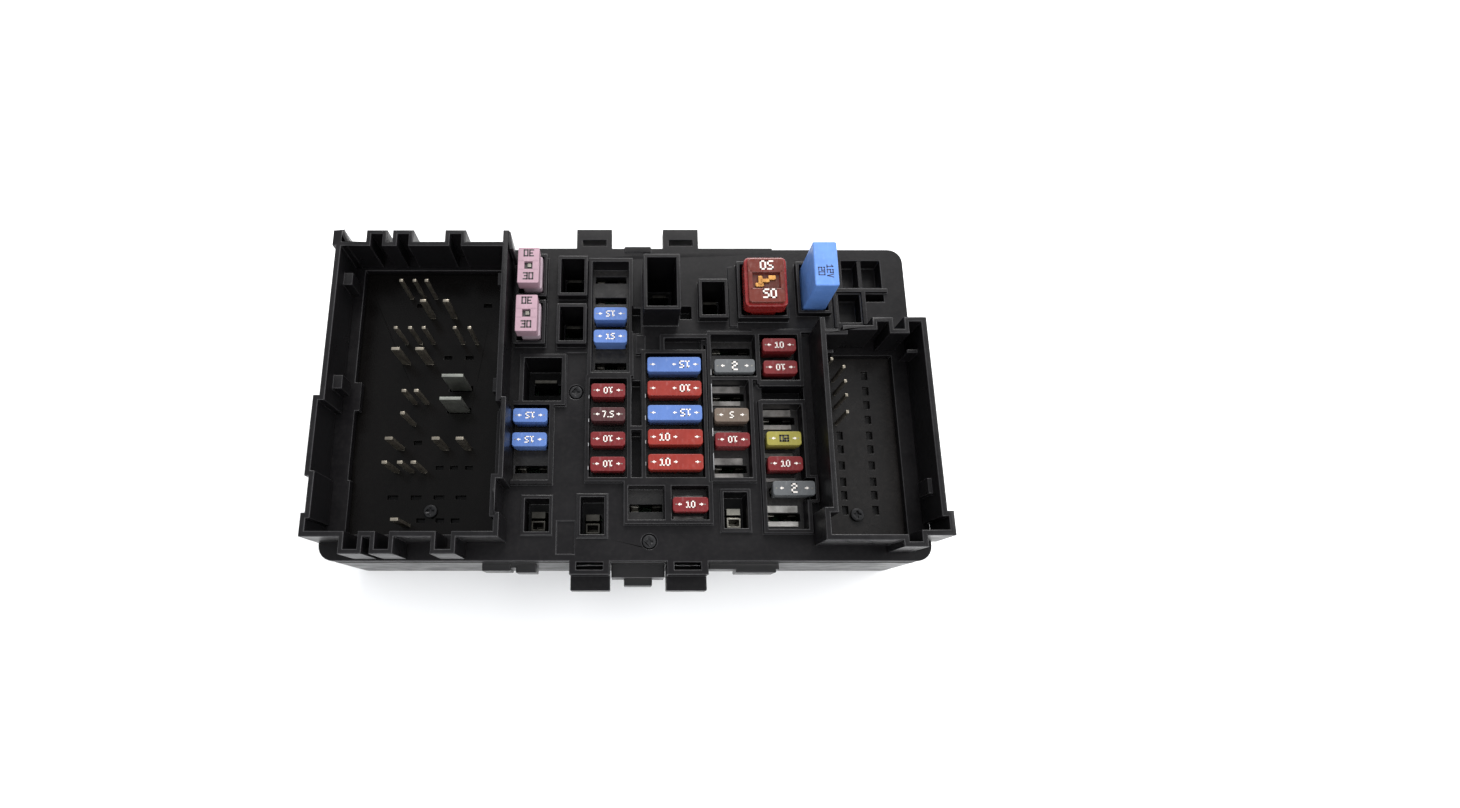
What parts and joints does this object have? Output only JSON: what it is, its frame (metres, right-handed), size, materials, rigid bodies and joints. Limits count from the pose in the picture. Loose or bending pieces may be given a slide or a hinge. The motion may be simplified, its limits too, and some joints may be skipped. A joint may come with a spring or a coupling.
{
  "type": "fuse box panel",
  "caption": "Car fuse and junction box with two open connector shrouds, rows of plug-in blade fuses, cartridge fuses and a relay.",
  "frame": {"origin": "underside of the lower case, at the centre of the housing's length and depth", "axes": "+X along the length towards the narrow connector shroud, +Y towards the back mounting ears, +Z out of the fuse side"},
  "size_m": [0.1582, 0.1007, 0.045],
  "materials": {
    "black_plastic": "fine moulded texture with a slight sheen",
    "header_plastic": "dull glass-filled plastic",
    "board_laminate": "green laminate",
    "tinned_metal": "tin-plated copper alloy, slightly dull",
    "screw_steel": "black oxide",
    "blue_plastic": "semi-gloss translucent",
    "red_plastic": "semi-gloss translucent",
    "brown_plastic": "semi-gloss translucent",
    "tan_plastic": "semi-gloss translucent",
    "grey_plastic": "semi-gloss translucent",
    "yellow_plastic": "semi-gloss translucent",
    "pink_plastic": "satin",
    "clear_red_plastic": "translucent, glossy",
    "relay_blue_plastic": "satin"
  },
  "bodies": {
    "housing": {"upper_case": "black_plastic", "left_connector_shroud": "black_plastic", "right_connector_shroud": "black_plastic", "lower_case": "black_plastic", "left_pin_header": "header_plastic", "right_pin_header": "header_plastic", "power_blade_1": "tinned_metal", "power_blade_2": "tinned_metal", "circuit_board": "board_laminate", "bus_back": "tinned_metal", "bus_left": "tinned_metal", "bus_inner": "tinned_metal", "bus_centre": "tinned_metal", "bus_right": "tinned_metal", "bus_right_back": "tinned_metal", "bus_far_back": "tinned_metal", "bus_far_front": "tinned_metal", "bus_front_empty": "tinned_metal", "bus_front_filled": "tinned_metal", "contact_front_1": "tinned_metal", "contact_front_2": "tinned_metal", "contact_front_3": "tinned_metal", "screw_1": "screw_steel", "screw_2": "screw_steel", "screw_3": "screw_steel", "screw_4": "screw_steel"},
    "micro2_back_1": {"micro2_back_1": "blue_plastic"},
    "micro2_back_2": {"micro2_back_2": "blue_plastic"},
    "micro2_left_1": {"micro2_left_1": "blue_plastic"},
    "micro2_left_2": {"micro2_left_2": "blue_plastic"},
    "micro2_inner_1": {"micro2_inner_1": "red_plastic"},
    "micro2_inner_2": {"micro2_inner_2": "brown_plastic"},
    "micro2_inner_3": {"micro2_inner_3": "red_plastic"},
    "micro2_inner_4": {"micro2_inner_4": "red_plastic"},
    "micro3_1": {"micro3_1": "blue_plastic"},
    "micro3_2": {"micro3_2": "red_plastic"},
    "micro3_3": {"micro3_3": "blue_plastic"},
    "micro3_4": {"micro3_4": "red_plastic"},
    "micro3_5": {"micro3_5": "red_plastic"},
    "micro2_right_1": {"micro2_right_1": "tan_plastic"},
    "micro2_right_2": {"micro2_right_2": "red_plastic"},
    "mini_1": {"mini_1": "grey_plastic"},
    "micro2_far_1": {"micro2_far_1": "red_plastic"},
    "micro2_far_2": {"micro2_far_2": "red_plastic"},
    "micro2_far_3": {"micro2_far_3": "yellow_plastic"},
    "micro2_far_4": {"micro2_far_4": "red_plastic"},
    "mini_2": {"mini_2": "grey_plastic"},
    "micro2_front": {"micro2_front": "red_plastic"},
    "cartridge_fuse_1": {"cartridge_fuse_1": "pink_plastic"},
    "cartridge_fuse_2": {"cartridge_fuse_2": "pink_plastic"},
    "main_fuse": {"main_fuse": "clear_red_plastic"},
    "relay": {"relay": "relay_blue_plastic"}
  },
  "joints": [
    {"name": "micro2_back_1_pull", "type": "slide", "parent": "housing", "child": "micro2_back_1", "axis": [0, 0, 1], "range_m": [0, 0.035]},
    {"name": "micro2_back_2_pull", "type": "slide", "parent": "housing", "child": "micro2_back_2", "axis": [0, 0, 1], "range_m": [0, 0.035]},
    {"name": "micro2_left_1_pull", "type": "slide", "parent": "housing", "child": "micro2_left_1", "axis": [0, 0, 1], "range_m": [0, 0.035]},
    {"name": "micro2_left_2_pull", "type": "slide", "parent": "housing", "child": "micro2_left_2", "axis": [0, 0, 1], "range_m": [0, 0.035]},
    {"name": "micro2_inner_1_pull", "type": "slide", "parent": "housing", "child": "micro2_inner_1", "axis": [0, 0, 1], "range_m": [0, 0.035]},
    {"name": "micro2_inner_2_pull", "type": "slide", "parent": "housing", "child": "micro2_inner_2", "axis": [0, 0, 1], "range_m": [0, 0.035]},
    {"name": "micro2_inner_3_pull", "type": "slide", "parent": "housing", "child": "micro2_inner_3", "axis": [0, 0, 1], "range_m": [0, 0.035]},
    {"name": "micro2_inner_4_pull", "type": "slide", "parent": "housing", "child": "micro2_inner_4", "axis": [0, 0, 1], "range_m": [0, 0.035]},
    {"name": "micro3_1_pull", "type": "slide", "parent": "housing", "child": "micro3_1", "axis": [0, 0, 1], "range_m": [0, 0.035]},
    {"name": "micro3_2_pull", "type": "slide", "parent": "housing", "child": "micro3_2", "axis": [0, 0, 1], "range_m": [0, 0.035]},
    {"name": "micro3_3_pull", "type": "slide", "parent": "housing", "child": "micro3_3", "axis": [0, 0, 1], "range_m": [0, 0.035]},
    {"name": "micro3_4_pull", "type": "slide", "parent": "housing", "child": "micro3_4", "axis": [0, 0, 1], "range_m": [0, 0.035]},
    {"name": "micro3_5_pull", "type": "slide", "parent": "housing", "child": "micro3_5", "axis": [0, 0, 1], "range_m": [0, 0.035]},
    {"name": "micro2_right_1_pull", "type": "slide", "parent": "housing", "child": "micro2_right_1", "axis": [0, 0, 1], "range_m": [0, 0.035]},
    {"name": "micro2_right_2_pull", "type": "slide", "parent": "housing", "child": "micro2_right_2", "axis": [0, 0, 1], "range_m": [0, 0.035]},
    {"name": "mini_1_pull", "type": "slide", "parent": "housing", "child": "mini_1", "axis": [0, 0, 1], "range_m": [0, 0.035]},
    {"name": "micro2_far_1_pull", "type": "slide", "parent": "housing", "child": "micro2_far_1", "axis": [0, 0, 1], "range_m": [0, 0.035]},
    {"name": "micro2_far_2_pull", "type": "slide", "parent": "housing", "child": "micro2_far_2", "axis": [0, 0, 1], "range_m": [0, 0.035]},
    {"name": "micro2_far_3_pull", "type": "slide", "parent": "housing", "child": "micro2_far_3", "axis": [0, 0, 1], "range_m": [0, 0.035]},
    {"name": "micro2_far_4_pull", "type": "slide", "parent": "housing", "child": "micro2_far_4", "axis": [0, 0, 1], "range_m": [0, 0.035]},
    {"name": "mini_2_pull", "type": "slide", "parent": "housing", "child": "mini_2", "axis": [0, 0, 1], "range_m": [0, 0.035]},
    {"name": "micro2_front_pull", "type": "slide", "parent": "housing", "child": "micro2_front", "axis": [0, 0, 1], "range_m": [0, 0.035]},
    {"name": "cartridge_fuse_1_pull", "type": "slide", "parent": "housing", "child": "cartridge_fuse_1", "axis": [0, 0, 1], "range_m": [0, 0.045]},
    {"name": "cartridge_fuse_2_pull", "type": "slide", "parent": "housing", "child": "cartridge_fuse_2", "axis": [0, 0, 1], "range_m": [0, 0.045]},
    {"name": "main_fuse_pull", "type": "slide", "parent": "housing", "child": "main_fuse", "axis": [0, 0, 1], "range_m": [0, 0.045]},
    {"name": "relay_pull", "type": "slide", "parent": "housing", "child": "relay", "axis": [0, 0, 1], "range_m": [0, 0.045]}
  ]
}
